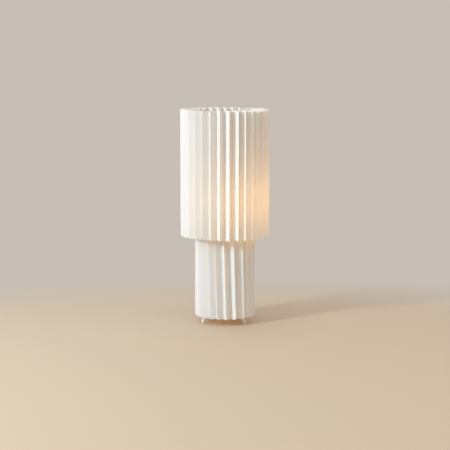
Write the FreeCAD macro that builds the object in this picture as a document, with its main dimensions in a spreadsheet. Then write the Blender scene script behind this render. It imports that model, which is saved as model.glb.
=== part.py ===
import FreeCAD, Part
import os
import re
import Sketcher
from FreeCAD import Placement, Rotation, Vector
from math import radians

# Pleated paper table lamp. A wide ring of pleated paper stands over a narrower pleated sleeve.
# The sleeve is glued to a wire frame on three hairpin feet, which carries an E27 lampholder.
# The shade has a wire spider that drops inside the frame's neck ring, so it lifts straight off.
# Millimetres and degrees. Z is up, and the origin is on the table, on the lamp's axis.
# Angles about Z start at +X. The front of the lamp faces -Y.

SIZES = (
    # wire frame
    ("wire", 3.0, "wire of the frame, across"),
    ("weld_gap", 0.1, "room for the weld between two wires"),
    ("glue_line", 0.3, "glue between a ring and the folds of the paper"),
    ("seat_gap", 0.3, "play between the parts that lift off and what they rest on"),
    ("fit_gap", 0.2, "play between parts that fit into each other and stay there"),
    # paper
    ("paper_wall", 0.5, "thickness of the paper"),
    ("shade_bottom", 188.5, "lower edge of the shade above the table"),
    ("shade_height", 268.5, "height of the shade"),
    ("shade_radius", 95.0, "outer folds of the shade from the axis"),
    ("shade_inner", 79.0, "inner folds of the shade from the axis, inside face"),
    ("shade_pleats", 32, "pleats round the shade"),
    ("shade_turn", -97.0, "angle of one outer fold of the shade"),
    ("shade_top_inset", 13.0, "upper ring of the shade below its upper edge"),
    ("sleeve_bottom", 15.4, "lower edge of the sleeve above the table"),
    ("sleeve_height", 188.6, "height of the sleeve"),
    ("sleeve_radius", 64.4, "outer folds of the sleeve from the axis"),
    ("sleeve_inner", 51.7, "inner folds of the sleeve from the axis, inside face"),
    ("sleeve_pleats", 23, "pleats round the sleeve"),
    ("sleeve_turn", -88.0, "angle of one outer fold of the sleeve"),
    # stand
    ("base_ring_inset", 4.0, "base ring above the lower edge of the sleeve"),
    ("neck_ring_inset", 1.0, "neck ring below the upper edge of the sleeve"),
    ("foot_radius", 53.0, "tips of the feet from the axis"),
    ("foot_turn", -155.6, "angle of the first foot"),
    ("foot_bend", 2.4, "radius of the bend at a foot's tip, to the middle of the wire"),
    ("foot_flare", 8.0, "angle between a foot's strand and its middle line"),
    ("foot_flat", 0.3, "flat ground under a foot's tip"),
    ("foot_ground", 12.0, "radius of the cut that grinds a foot's flat"),
    ("foot_rise", 6.0, "strands of a foot above the middle of the base ring"),
    # lampholder and its fixing
    ("fitter_radius", 29.0, "outside of the fitter ring"),
    ("fitter_wall", 2.0, "thickness of the fitter ring"),
    ("spoke_reach", 2.6, "end of a spoke under the fitter ring, in from its edge"),
    ("collar_radius", 19.8, "outside of the holder's upper collar"),
    ("collar_height", 20.5, "collar above the fitter ring's underside"),
    ("flange_radius", 24.5, "flange that carries the fitter ring"),
    ("flange_wall", 3.0, "thickness of the flange"),
    ("skirt_radius", 20.8, "outside of the holder's lower skirt and cap"),
    ("skirt_height", 25.5, "skirt below the fitter ring's underside"),
    ("skirt_bore", 18.6, "bore of the skirt"),
    ("mouth_radius", 17.0, "bore of the collar"),
    ("lip_bore", 14.6, "bore of the lip that the insulator core sits under"),
    ("lip_drop", 8.5, "lip below the fitter ring's underside"),
    ("lip_wall", 2.0, "thickness of the lip"),
    ("core_height", 7.0, "insulator core"),
    ("cap_drop", 11.0, "cap below the skirt"),
    ("cap_wall", 2.6, "wall of the cap"),
    ("cap_floor", 3.0, "floor of the cap"),
    ("cap_round", 5.0, "rounding of the cap's lower edge"),
    ("nut_radius", 27.0, "outside of the shade ring nut"),
    ("nut_height", 8.0, "height of the shade ring nut"),
    ("nut_flutes", 16, "grip flutes round the ring nut"),
    ("flute_radius", 1.8, "radius of a grip flute"),
    ("flute_stand", 0.9, "middle of a grip flute outside the ring nut"),
    ("nut_edge", 4.0, "straight part of the ring nut's side"),
    ("shell_radius", 13.9, "outside of the brass screw shell"),
    ("shell_wall", 0.4, "sheet of the screw shell"),
    ("shell_height", 26.0, "height of the screw shell"),
    ("shell_hole", 9.0, "hole in the screw shell's floor"),
    ("leaf_wall", 0.5, "sheet of the centre contact"),
    ("leaf_width", 5.0, "width of the centre contact"),
    ("leaf_rise", 3.7, "centre contact above the core"),
    ("leaf_foot", 3.5, "flat end of the centre contact on the core"),
    ("leaf_ramp", 3.0, "slanting middle of the centre contact"),
    ("leaf_touch", 3.6, "flat end of the centre contact under the bulb"),
    ("block_long", 8.0, "terminal block along the wire"),
    ("block_wide", 6.0, "terminal block across the wire"),
    ("block_tall", 6.0, "height of a terminal block"),
    ("block_offset", 9.3, "middle of a terminal block from the axis"),
    ("block_bore", 1.3, "wire hole in a terminal block, radius"),
    ("bore_height", 3.6, "wire hole above a terminal block's lower face"),
    ("tap_depth", 3.0, "screw hole in a terminal block"),
    ("screw_radius", 1.4, "shank of the small screws"),
    ("screw_reach", 2.0, "shank of the small screws in their block"),
    ("screw_head", 2.6, "head of the small screws, radius"),
    ("head_height", 1.8, "head of the small screws"),
    ("slot_width", 0.7, "driver slot"),
    ("slot_depth", 0.8, "driver slot"),
    # cord entry
    ("nipple_radius", 5.0, "threaded tube at the cord entry"),
    ("nipple_length", 25.0, "length of the threaded tube"),
    ("nipple_tail", 3.8, "threaded tube above its lock nut"),
    ("cord_bore", 3.5, "way for the cord, radius"),
    ("lock_flats", 14.0, "lock nut across its flats"),
    ("lock_height", 3.0, "lock nut"),
    ("gland_radius", 8.5, "cord grip"),
    ("gland_length", 24.0, "length of the cord grip"),
    ("gland_nose", 6.5, "lower end of the cord grip, radius"),
    ("grip_offset", 5.0, "grip screw above the lower end of the cord grip"),
    ("grip_radius", 1.8, "shank of the grip screw"),
    ("grip_proud", 1.0, "grip screw outside the cord grip"),
    # bulb
    ("bulb_radius", 30.0, "globe of the bulb"),
    ("bulb_length", 105.0, "bulb from its tip to its top"),
    ("bulb_wall", 0.8, "glass of the bulb"),
    ("bulb_neck", 12.4, "neck of the glass, radius"),
    ("bulb_cove", 40.0, "hollow curve between neck and globe, radius"),
    ("neck_start", 19.0, "lower end of the glass above the tip"),
    ("tip_radius", 4.6, "tip contact of the bulb"),
    ("tip_height", 1.5, "tip contact of the bulb"),
    ("tip_face", 3.22, "flat under the tip contact, radius"),
    ("tip_edge", 0.75, "upright part of the tip contact's side"),
    ("insulator_height", 3.0, "black glass between tip and cap"),
    ("insulator_radius", 9.0, "black glass at its upper end"),
    ("insulator_tip", 5.6, "black glass at its lower end, radius"),
    ("cap_slope", 2.5, "slanting part of the bulb's cap"),
    ("cap_rim", 27.0, "rim of the bulb's cap above the tip"),
    ("stem_start", 22.0, "foot of the glass stem above the tip"),
    ("stem_flare", 10.0, "height of the flare at the foot of the stem"),
    ("stem_radius", 3.0, "glass stem"),
    ("stem_top", 57.0, "upper end of the glass stem above the tip"),
    ("strip_circle", 9.0, "filament strips from the axis"),
    ("strip_length", 34.0, "length of a filament strip"),
    ("strip_radius", 1.0, "filament strip"),
    ("strip_count", 4, "filament strips"),
    ("lead_radius", 0.6, "support wires in the bulb"),
)

# Places that follow from the sizes. A name here may stand on sizes and on other places.
PLACES = {
    "shade_ring": "shade_inner - glue_line - wire / 2",
    "sleeve_ring": "sleeve_inner - glue_line - wire / 2",
    "base_level": "sleeve_bottom + base_ring_inset",
    "neck_level": "sleeve_bottom + sleeve_height - neck_ring_inset",
    "spoke_level": "neck_level - wire - weld_gap",
    "carrier_ring": "sleeve_ring - wire - 2 * seat_gap",
    "carrier_level": "spoke_level + wire + seat_gap",
    "arm_level": "carrier_level + wire + weld_gap",
    "tip_level": "wire / 2 - foot_flat",
    "foot_climb": "base_level - tip_level",
    "strand_half": "foot_bend + (foot_climb - foot_bend) * tan(foot_flare)",
    "foot_overhang": "foot_radius - sqrt(sleeve_ring ^ 2 - strand_half ^ 2)",
    "foot_lean": "atan(foot_overhang / foot_climb)"
                 " + asin((wire + weld_gap) / sqrt(foot_overhang ^ 2 + foot_climb ^ 2))",
    "fitter_level": "neck_level - wire / 2",
    "fitter_bore": "collar_radius + fit_gap",
    "nut_level": "fitter_level + fitter_wall",
    "skirt_level": "fitter_level - skirt_height",
    "core_top": "fitter_level - lip_drop - lip_wall",
    "core_level": "core_top - core_height",
    "core_radius": "skirt_bore - fit_gap",
    "cap_level": "skirt_level - cap_drop",
    "spigot_bore": "skirt_bore - cap_wall",
    "leaf_slope": "leaf_foot + leaf_ramp",
    "leaf_end": "leaf_slope + leaf_touch",
    "block_level": "core_level - block_tall",
    "nipple_level": "cap_level + cap_floor + lock_height + nipple_tail - nipple_length",
    "gland_level": "cap_level - gland_length",
    "bulb_level": "core_top + leaf_rise + seat_gap",
    "bulb_cap_radius": "shell_radius - shell_wall - seat_gap",
    "globe_height": "bulb_length - bulb_radius - neck_start",
    "stem_foot": "bulb_neck - bulb_wall - fit_gap",
    "lead_height": "strip_length + 2 * lead_radius",
}

LEGS = 3
SIDES = 6
NODES = []

doc = FreeCAD.newDocument("PleatedLamp")
sheet = doc.addObject("Spreadsheet::Sheet", "Sizes")
for row, (alias, size, note) in enumerate(SIZES, start=1):
    sheet.set(f"A{row}", note)
    sheet.set(f"B{row}", str(size))
    sheet.setAlias(f"B{row}", alias)
doc.recompute()

SIZE_NAMES = {alias for alias, size, note in SIZES}


def bound(text):
    """Write out an expression: places become their own text, sizes become cells of the sheet."""
    def written_out(word):
        name = word[0]
        if name in SIZE_NAMES:
            return f"Sizes.{name}"
        return f"({bound(PLACES[name])})" if name in PLACES else name
    return re.sub(r"[a-z_]+", written_out, text)


def value(text):
    """Work out an expression on sizes and places."""
    return float(sheet.evalExpression(bound(text)))


def bind(thing, **expressions):
    """Tie properties to expressions; a double underscore in a name stands for a dot."""
    for name, text in expressions.items():
        thing.setExpression(name.replace("__", "."), bound(text))


def put(thing, level="0", turn="0", offset="0"):
    """Place a sub-part: its height, its turn about Z, and its offset along its turned X axis."""
    bind(thing, Placement__Rotation__Angle=turn)
    bind(thing, Placement__Base__z=level)
    if offset != "0":
        bind(thing, Placement__Base__x=f"({offset}) * cos({turn})")
        bind(thing, Placement__Base__y=f"({offset}) * sin({turn})")


def node(thing, name):
    """Keep a finished sub-part under the name of its node."""
    thing.Label = name
    NODES.append(thing)
    return thing


def new_body(name, **place):
    """Start a body for one sub-part and put it in its place."""
    body = doc.addObject("PartDesign::Body", name)
    put(body, **place)
    return node(body, name)


def origin_feature(body, role):
    """Give one of the body's own origin planes or axes."""
    return next(feature for feature in body.Origin.OriginFeatures if feature.Role == role)


def sketch_on(body, role, name):
    """Start a sketch on one of the body's own origin planes."""
    sketch = body.newObject("Sketcher::SketchObject", name)
    sketch.AttachmentSupport = [(origin_feature(body, role), "")]
    sketch.MapMode = "FlatFace"
    return sketch


def hold(sketch, kind, *where, size=None):
    """Add a constraint, tied to an expression where it has a size."""
    if size is None:
        return sketch.addConstraint(Sketcher.Constraint(kind, *where))
    number = value(size)
    number = radians(number) if kind == "Angle" else number
    place = sketch.addConstraint(Sketcher.Constraint(kind, *where, number))
    sketch.setExpression(f"Constraints[{place}]", bound(size))
    return place


def pin(sketch, edge, end, across, up):
    """Hold a point at its two distances from the sketch's origin; '0' puts it on that axis."""
    if across == "0":
        hold(sketch, "PointOnObject", edge, end, -2)
    else:
        hold(sketch, "DistanceX", -1, 1, edge, end, size=across)
    if up == "0":
        hold(sketch, "PointOnObject", edge, end, -1)
    else:
        hold(sketch, "DistanceY", -1, 1, edge, end, size=up)


def outline(sketch, corners):
    """Draw a closed outline of straight lines, with each corner held at its place."""
    points = [Vector(value(across), value(up), 0) for across, up in corners]
    for start, end in zip(points, points[1:] + points[:1]):
        sketch.addGeometry(Part.LineSegment(start, end), False)
    for edge in range(len(corners)):
        hold(sketch, "Coincident", edge, 2, (edge + 1) % len(corners), 1)
    for edge, (across, up) in enumerate(corners):
        pin(sketch, edge, 1, across, up)


def circle(sketch, across, up, radius):
    """Draw a circle with its middle held at its place."""
    middle = Vector(value(across), value(up), 0)
    edge = sketch.addGeometry(Part.Circle(middle, Vector(0, 0, 1), value(radius)), False)
    pin(sketch, edge, 3, across, up)
    hold(sketch, "Radius", edge, size=radius)


def feature(body, kind, name, **settings):
    """Add a feature to a body and make it the body's result."""
    made = body.newObject(f"PartDesign::{kind}", name)
    for setting, given in settings.items():
        setattr(made, setting, given)
    body.Tip = made
    return made


def turned(name, corners, **place):
    """Make a round sub-part by turning an outline of (radius, height) corners about Z."""
    body = new_body(name, **place)
    profile = sketch_on(body, "XZ_Plane", f"{name}_profile")
    outline(profile, corners)
    feature(body, "Revolution", f"{name}_turn", Profile=profile,
            ReferenceAxis=(profile, ["V_Axis"]), Angle=360)
    return body


def ring(name, radius, level):
    """Make a ring of frame wire."""
    torus = doc.addObject("Part::Torus", name)
    bind(torus, Radius1=radius, Radius2="wire / 2")
    put(torus, level=level)
    return node(torus, name)


def radial_wire(name, start, end, level, turn):
    """Make a straight wire that lies along a radius of the lamp."""
    body = new_body(name, level=level, turn=turn)
    section = sketch_on(body, "YZ_Plane", f"{name}_section")
    section.setExpression("AttachmentOffset.Base.z", bound(start))
    circle(section, "0", "0", "wire / 2")
    pad = feature(body, "Pad", f"{name}_pad", Profile=section)
    bind(pad, Length=f"({end}) - ({start})")
    return body


def pleated_paper(name, ridge, inner, pleats, height, level, turn):
    """Fold a ring of paper: one sharp pleat, from valley fold to valley fold, repeated round Z."""
    body = new_body(name, level=level, turn=turn)
    sketch = sketch_on(body, "XY_Plane", f"{name}_pleat")
    half = f"180 / {pleats}"
    far, near = value(ridge), value(inner)
    side = Vector(near * value(f"cos({half})"), near * value(f"sin({half})"), 0)
    wall = value("paper_wall")
    tip, inner_tip = Vector(far, 0, 0), Vector(far - 2 * wall, 0, 0)
    mirror = Vector(side.x, -side.y, 0)
    out, mirror_out = side * (1 + wall / near), mirror * (1 + wall / near)
    corners = [mirror_out, tip, out, side, inner_tip, mirror]
    for start, end in zip(corners, corners[1:] + corners[:1]):
        sketch.addGeometry(Part.LineSegment(start, end), False)
    for edge in range(len(corners)):
        hold(sketch, "Coincident", edge, 2, (edge + 1) % len(corners), 1)
    outer_left, outer_right, joint_right, inner_right, inner_left, joint_left = range(6)
    spoke = sketch.addGeometry(Part.LineSegment(Vector(0, 0, 0), side * 0.5), True)
    hold(sketch, "Coincident", spoke, 1, -1, 1)
    hold(sketch, "Angle", spoke, size=half)
    hold(sketch, "Distance", spoke, size=f"({inner}) / 2")
    hold(sketch, "PointOnObject", outer_right, 1, -1)
    hold(sketch, "DistanceX", -1, 1, outer_right, 1, size=ridge)
    hold(sketch, "PointOnObject", inner_right, 2, -1)
    hold(sketch, "PointOnObject", joint_right, 1, spoke)
    hold(sketch, "PointOnObject", joint_right, 2, spoke)
    hold(sketch, "Distance", -1, 1, joint_right, 2, size=inner)
    hold(sketch, "Symmetric", outer_left, 1, joint_right, 1, -1)
    hold(sketch, "Symmetric", joint_left, 1, joint_right, 2, -1)
    hold(sketch, "Parallel", outer_right, inner_right)
    hold(sketch, "Distance", inner_right, 2, outer_right, size="paper_wall")
    pad = feature(body, "Pad", f"{name}_pad", Profile=sketch)
    bind(pad, Length=height)
    pattern = feature(body, "PolarPattern", f"{name}_pleats", Originals=[pad],
                      Axis=(origin_feature(body, "Z_Axis"), [""]), Angle=360)
    bind(pattern, Occurrences=pleats)
    return body


def hairpin_foot(name, turn):
    """Bend a wire foot: half a hairpin swept from the middle of its tip, and its mirror image.

    Its strands pass inside the base ring, to which they are welded, and lean out to the tip.
    """
    body = new_body(name, turn=turn)
    section = sketch_on(body, "XZ_Plane", f"{name}_section")
    circle(section, "foot_radius", "tip_level", "wire / 2")
    path = sketch_on(body, "YZ_Plane", f"{name}_path")
    path.AttachmentOffset = Placement(Vector(0, 0, 0), Rotation(Vector(-1, 0, 0), 1))
    bind(path, AttachmentOffset__Base__z="foot_radius", AttachmentOffset__Base__y="tip_level",
         AttachmentOffset__Rotation__Angle="foot_lean")
    bend, flare = value("foot_bend"), value("foot_flare")
    length = "(base_level + foot_rise - tip_level) / cos(foot_lean)"
    middle = Vector(0, bend, 0)
    arc = Part.ArcOfCircle(Part.Circle(middle, Vector(0, 0, 1), bend), radians(-90), radians(-flare))
    sketch_arc = path.addGeometry(arc, False)
    strand = path.addGeometry(Part.LineSegment(arc.EndPoint, Vector(bend * 2, value(length), 0)), False)
    hold(path, "Coincident", sketch_arc, 1, -1, 1)
    hold(path, "PointOnObject", sketch_arc, 3, -2)
    hold(path, "Radius", sketch_arc, size="foot_bend")
    hold(path, "Tangent", sketch_arc, 2, strand, 1)
    hold(path, "Angle", strand, size="90 - foot_flare")
    hold(path, "DistanceY", -1, 1, strand, 2, size=length)
    sweep = feature(body, "AdditivePipe", f"{name}_strand", Profile=section,
                    Spine=(path, ["Edge1", "Edge2"]))
    feature(body, "Mirrored", f"{name}_hairpin", Originals=[sweep],
            MirrorPlane=(origin_feature(body, "XZ_Plane"), [""]))
    ground = sketch_on(body, "XY_Plane", f"{name}_ground")
    circle(ground, "foot_radius", "0", "foot_ground")
    feature(body, "Pocket", f"{name}_flat", Profile=ground, Type="ThroughAll")
    return body


def driver_slot(body, name, role, start, end, **settings):
    """Cut a driver slot: a bar between two distances along the sketch's first axis, on that axis."""
    slot = sketch_on(body, role, f"{name}_bar")
    half = value("slot_width") / 2
    near, far = value(start), value(end)
    points = [Vector(near, -half, 0), Vector(far, -half, 0), Vector(far, half, 0), Vector(near, half, 0)]
    for first, last in zip(points, points[1:] + points[:1]):
        slot.addGeometry(Part.LineSegment(first, last), False)
    for edge in range(4):
        hold(slot, "Coincident", edge, 2, (edge + 1) % 4, 1)
    hold(slot, "Horizontal", 0)
    hold(slot, "Symmetric", 0, 1, 3, 1, -1)
    hold(slot, "Symmetric", 0, 2, 2, 1, -1)
    hold(slot, "DistanceX", -1, 1, 0, 1, size=start)
    hold(slot, "DistanceX", -1, 1, 0, 2, size=end)
    hold(slot, "DistanceY", 1, 1, 1, 2, size="slot_width")
    return feature(body, "Pocket", f"{name}_slot", Profile=slot, **settings)


# Paper
pleated_paper("shade_paper", "shade_radius", "shade_inner", "shade_pleats", "shade_height",
              "shade_bottom", "shade_turn")
pleated_paper("sleeve_paper", "sleeve_radius", "sleeve_inner", "sleeve_pleats", "sleeve_height",
              "sleeve_bottom", "sleeve_turn")

# Wire rings
ring("base_ring", "sleeve_ring", "base_level")
ring("neck_ring", "sleeve_ring", "neck_level")
ring("carrier_ring", "carrier_ring", "carrier_level")
ring("shade_bottom_ring", "shade_ring", "carrier_level")
ring("shade_top_ring", "shade_ring", "shade_bottom + shade_height - shade_top_inset")

# Each leg of the frame has a foot and a spoke at one angle, and an upright and an arm half a step on
for index in range(LEGS):
    spoke_turn = f"foot_turn + {index} * 360 / {LEGS}"
    arm_turn = f"foot_turn + ({index} + 1 / 2) * 360 / {LEGS}"
    hairpin_foot(f"hairpin_foot_{index + 1}", spoke_turn)
    radial_wire(f"neck_spoke_{index + 1}", "fitter_radius - spoke_reach", "sleeve_ring + wire / 2",
                "spoke_level", spoke_turn)
    radial_wire(f"carrier_arm_{index + 1}", "carrier_ring - wire / 2", "shade_ring + wire / 2",
                "arm_level", arm_turn)
    upright = doc.addObject("Part::Cylinder", f"upright_{index + 1}")
    bind(upright, Radius="wire / 2", Height="neck_level - base_level - wire")
    put(upright, level="base_level + wire / 2", turn=arm_turn, offset="sleeve_ring")
    node(upright, f"upright_{index + 1}")

# Fitter ring and lampholder
turned("fitter_ring", [("fitter_bore", "0"), ("fitter_radius", "0"),
                       ("fitter_radius", "fitter_wall"), ("fitter_bore", "fitter_wall")],
       level="fitter_level")

turned("lampholder_shell", [
    ("skirt_bore", "0"), ("skirt_radius", "0"),
    ("skirt_radius", "skirt_height - flange_wall"), ("flange_radius", "skirt_height - flange_wall"),
    ("flange_radius", "skirt_height"), ("collar_radius", "skirt_height"),
    ("collar_radius", "skirt_height + collar_height"), ("mouth_radius", "skirt_height + collar_height"),
    ("mouth_radius", "skirt_height - lip_drop"), ("lip_bore", "skirt_height - lip_drop"),
    ("lip_bore", "skirt_height - lip_drop - lip_wall"),
    ("skirt_bore", "skirt_height - lip_drop - lip_wall")], level="skirt_level")

ring_nut = turned("shade_ring_nut", [
    ("fitter_bore", "0"), ("nut_radius", "0"), ("nut_radius", "nut_edge"),
    ("nut_radius - flute_radius", "nut_height"), ("fitter_bore", "nut_height")], level="nut_level")
flute = sketch_on(ring_nut, "XY_Plane", "nut_flute")
circle(flute, "nut_radius + flute_stand", "0", "flute_radius")
cut = feature(ring_nut, "Pocket", "nut_flute_cut", Profile=flute, Type="ThroughAll", Reversed=True)
flutes = feature(ring_nut, "PolarPattern", "nut_flute_row", Originals=[cut],
                 Axis=(origin_feature(ring_nut, "Z_Axis"), [""]), Angle=360)
bind(flutes, Occurrences="nut_flutes")

turned("insulator_core", [
    ("0", "0"), ("core_radius", "0"), ("core_radius", "core_height"), ("0", "core_height")],
    level="core_level")

holder_cap = turned("lampholder_cap", [
    ("nipple_radius + fit_gap", "0"), ("skirt_radius - cap_round", "0"),
    ("skirt_radius", "cap_round"), ("skirt_radius", "cap_drop"), ("core_radius", "cap_drop"),
    ("core_radius", "core_level - cap_level"), ("spigot_bore", "core_level - cap_level"),
    ("spigot_bore", "cap_floor + cap_round"), ("spigot_bore - cap_round", "cap_floor"),
    ("nipple_radius + fit_gap", "cap_floor")], level="cap_level")

turned("screw_shell", [
    ("shell_hole", "0"), ("shell_radius", "0"), ("shell_radius", "shell_height"),
    ("shell_radius - shell_wall", "shell_height"), ("shell_radius - shell_wall", "shell_wall"),
    ("shell_hole", "shell_wall")], level="core_top")

leaf = new_body("centre_contact", level="core_top", offset="leaf_touch / 2 - leaf_end")
leaf_side = sketch_on(leaf, "XZ_Plane", "leaf_side")
outline(leaf_side, [
    ("0", "0"), ("leaf_foot + leaf_wall / 2", "0"),
    ("leaf_slope + leaf_wall / 2", "leaf_rise - leaf_wall"), ("leaf_end", "leaf_rise - leaf_wall"),
    ("leaf_end", "leaf_rise"), ("leaf_slope", "leaf_rise"), ("leaf_foot", "leaf_wall"),
    ("0", "leaf_wall")])
leaf_pad = feature(leaf, "Pad", "leaf_pad", Profile=leaf_side, Midplane=True)
bind(leaf_pad, Length="leaf_width")

# Terminals under the core: a brass block each, with a wire hole and a screw from below
for index in range(2):
    block = new_body(f"terminal_block_{index + 1}", level="block_level", turn=f"{index} * 180",
                     offset="block_offset - block_wide / 2")
    block_end = sketch_on(block, "XZ_Plane", f"block_{index + 1}_end")
    outline(block_end, [("0", "0"), ("block_wide", "0"), ("block_wide", "block_tall"),
                        ("0", "block_tall")])
    circle(block_end, "block_wide / 2", "bore_height", "block_bore")
    block_pad = feature(block, "Pad", f"block_{index + 1}_pad", Profile=block_end, Midplane=True)
    bind(block_pad, Length="block_long")
    tap = sketch_on(block, "XY_Plane", f"block_{index + 1}_tap")
    circle(tap, "block_wide / 2", "0", "screw_radius + fit_gap / 2")
    tap_hole = feature(block, "Pocket", f"block_{index + 1}_hole", Profile=tap, Reversed=True)
    bind(tap_hole, Length="tap_depth")

screws = new_body("terminal_screws", level="block_level - head_height")
screws.AllowCompound = True
screw_side = sketch_on(screws, "XZ_Plane", "screw_side")
outline(screw_side, [
    ("block_offset", "0"), ("block_offset + screw_head", "0"),
    ("block_offset + screw_head", "head_height"), ("block_offset + screw_radius", "head_height"),
    ("block_offset + screw_radius", "head_height + screw_reach"),
    ("block_offset", "head_height + screw_reach")])
middle_line = screw_side.addGeometry(Part.LineSegment(
    Vector(value("block_offset"), 0, 0), Vector(value("block_offset"), value("block_tall"), 0)), True)
hold(screw_side, "Vertical", middle_line)
pin(screw_side, middle_line, 1, "block_offset", "0")
hold(screw_side, "DistanceY", middle_line, 1, middle_line, 2, size="block_tall")
screw_turn = feature(screws, "Revolution", "screw_turn", Profile=screw_side,
                     ReferenceAxis=(screw_side, ["Axis0"]), Angle=360)
screw_slot = driver_slot(screws, "terminal", "XY_Plane", "block_offset - screw_head",
                         "block_offset + screw_head", Reversed=True)
bind(screw_slot, Length="slot_depth")
feature(screws, "PolarPattern", "screw_pair", Originals=[screw_turn, screw_slot],
        Axis=(origin_feature(screws, "Z_Axis"), [""]), Angle=360, Occurrences=2)

# Cord entry: threaded tube through the cap's floor, nut inside, grip below
turned("entry_nipple", [("cord_bore", "0"), ("nipple_radius", "0"),
                        ("nipple_radius", "nipple_length"), ("cord_bore", "nipple_length")],
       level="nipple_level")

lock_nut = new_body("lock_nut", level="cap_level + cap_floor")
hexagon = sketch_on(lock_nut, "XY_Plane", "lock_hexagon")
corner = value("lock_flats") / 3 ** 0.5
ends = [Rotation(Vector(0, 0, 1), 360 / SIDES * step).multVec(Vector(corner, 0, 0)) for step in range(SIDES)]
for start, end in zip(ends, ends[1:] + ends[:1]):
    hexagon.addGeometry(Part.LineSegment(start, end), False)
guide = hexagon.addGeometry(Part.Circle(Vector(0, 0, 0), Vector(0, 0, 1), corner), True)
for edge in range(SIDES):
    hold(hexagon, "Coincident", edge, 2, (edge + 1) % SIDES, 1)
    hold(hexagon, "PointOnObject", edge, 1, guide)
for edge in range(SIDES - 1):
    hold(hexagon, "Equal", edge, edge + 1)
hold(hexagon, "Coincident", guide, 3, -1, 1)
hold(hexagon, "PointOnObject", 0, 1, -1)
hold(hexagon, "Radius", guide, size="lock_flats / sqrt(3)")
circle(hexagon, "0", "0", "nipple_radius + fit_gap")
nut_pad = feature(lock_nut, "Pad", "lock_pad", Profile=hexagon)
bind(nut_pad, Length="lock_height")

gland = turned("cord_gland", [
    ("cord_bore", "0"), ("gland_nose", "0"), ("gland_radius", "gland_length / 3"),
    ("gland_radius", "gland_length"), ("nipple_radius + fit_gap", "gland_length"),
    ("nipple_radius + fit_gap", "nipple_level - gland_level"),
    ("cord_bore", "nipple_level - gland_level")], level="gland_level")
tapping = sketch_on(gland, "YZ_Plane", "gland_tapping")
circle(tapping, "0", "grip_offset", "grip_radius + fit_gap / 2")
feature(gland, "Pocket", "gland_side_hole", Profile=tapping, Type="ThroughAll", Reversed=True)

grip_screw = new_body("grip_screw", level="gland_level + grip_offset", offset="cord_bore")
grip_end = sketch_on(grip_screw, "YZ_Plane", "grip_end")
circle(grip_end, "0", "0", "grip_radius")
grip_pad = feature(grip_screw, "Pad", "grip_pad", Profile=grip_end)
bind(grip_pad, Length="gland_radius - cord_bore + grip_proud")
driver_slot(grip_screw, "grip", "XZ_Plane", "gland_radius - cord_bore + grip_proud - slot_depth",
            "gland_radius - cord_bore + grip_proud", Type="ThroughAll", Midplane=True)

# Bulb
turned("bulb_contact", [("0", "0"), ("tip_face", "0"), ("tip_radius", "tip_height - tip_edge"),
                        ("tip_radius", "tip_height"), ("0", "tip_height")], level="bulb_level")
turned("cap_insulator", [
    ("0", "0"), ("insulator_tip", "0"), ("insulator_radius", "insulator_height"),
    ("0", "insulator_height")], level="bulb_level + tip_height")
turned("bulb_cap", [
    ("insulator_radius - cap_slope", "0"), ("insulator_radius", "0"), ("bulb_cap_radius", "cap_slope"),
    ("bulb_cap_radius", "cap_rim - tip_height - insulator_height"),
    ("bulb_neck + fit_gap", "cap_rim - tip_height - insulator_height"),
    ("bulb_neck + fit_gap", "cap_slope + shell_wall"),
    ("insulator_radius - cap_slope", "shell_wall")], level="bulb_level + tip_height + insulator_height")

glass = new_body("bulb_glass", level="bulb_level + neck_start")
profile = sketch_on(glass, "XZ_Plane", "glass_profile")
neck, cove, globe = value("bulb_neck"), value("bulb_cove"), value("bulb_radius")
wall, top = value("bulb_wall"), value("globe_height")
cove_drop = ((cove + globe) ** 2 - (cove + neck) ** 2) ** 0.5
cove_middle = Vector(neck + cove, top - cove_drop, 0)
globe_middle = Vector(0, top, 0)
touch = (globe_middle - cove_middle).getAngle(Vector(-1, 0, 0))


def glass_side(offset):
    """Draw one face of the glass: neck line, hollow curve and globe, moved in by the offset."""
    foot = Vector(neck - offset, 0, 0)
    bend = Vector(neck - offset, cove_middle.y, 0)
    line = profile.addGeometry(Part.LineSegment(foot, bend), False)
    hollow = Part.ArcOfCircle(Part.Circle(cove_middle, Vector(0, 0, 1), cove + offset),
                              radians(180) - touch, radians(180))
    hollow_edge = profile.addGeometry(hollow, False)
    round_arc = Part.ArcOfCircle(Part.Circle(globe_middle, Vector(0, 0, 1), globe - offset),
                                 -touch, radians(90))
    return line, hollow_edge, profile.addGeometry(round_arc, False)


outer_line, outer_cove, outer_globe = glass_side(0)
inner_line, inner_cove, inner_globe = glass_side(wall)
rim = profile.addGeometry(Part.LineSegment(Vector(neck - wall, 0, 0), Vector(neck, 0, 0)), False)
crown = profile.addGeometry(Part.LineSegment(Vector(0, top + globe, 0),
                                             Vector(0, top + globe - wall, 0)), False)
for line, hollow, dome in ((outer_line, outer_cove, outer_globe), (inner_line, inner_cove, inner_globe)):
    hold(profile, "Tangent", line, 2, hollow, 2)
    hold(profile, "Tangent", hollow, 1, dome, 1)
    hold(profile, "PointOnObject", dome, 3, -2)
    hold(profile, "PointOnObject", dome, 2, -2)
    hold(profile, "Vertical", line)
    hold(profile, "PointOnObject", line, 1, -1)
hold(profile, "Coincident", rim, 1, inner_line, 1)
hold(profile, "Coincident", rim, 2, outer_line, 1)
hold(profile, "Coincident", crown, 1, outer_globe, 2)
hold(profile, "Coincident", crown, 2, inner_globe, 2)
hold(profile, "DistanceX", -1, 1, outer_line, 1, size="bulb_neck")
hold(profile, "DistanceX", inner_line, 1, outer_line, 1, size="bulb_wall")
hold(profile, "Radius", outer_globe, size="bulb_radius")
hold(profile, "Radius", outer_cove, size="bulb_cove")
hold(profile, "Radius", inner_globe, size="bulb_radius - bulb_wall")
hold(profile, "DistanceY", -1, 1, outer_globe, 3, size="globe_height")
hold(profile, "DistanceY", -1, 1, inner_globe, 3, size="globe_height")
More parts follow.
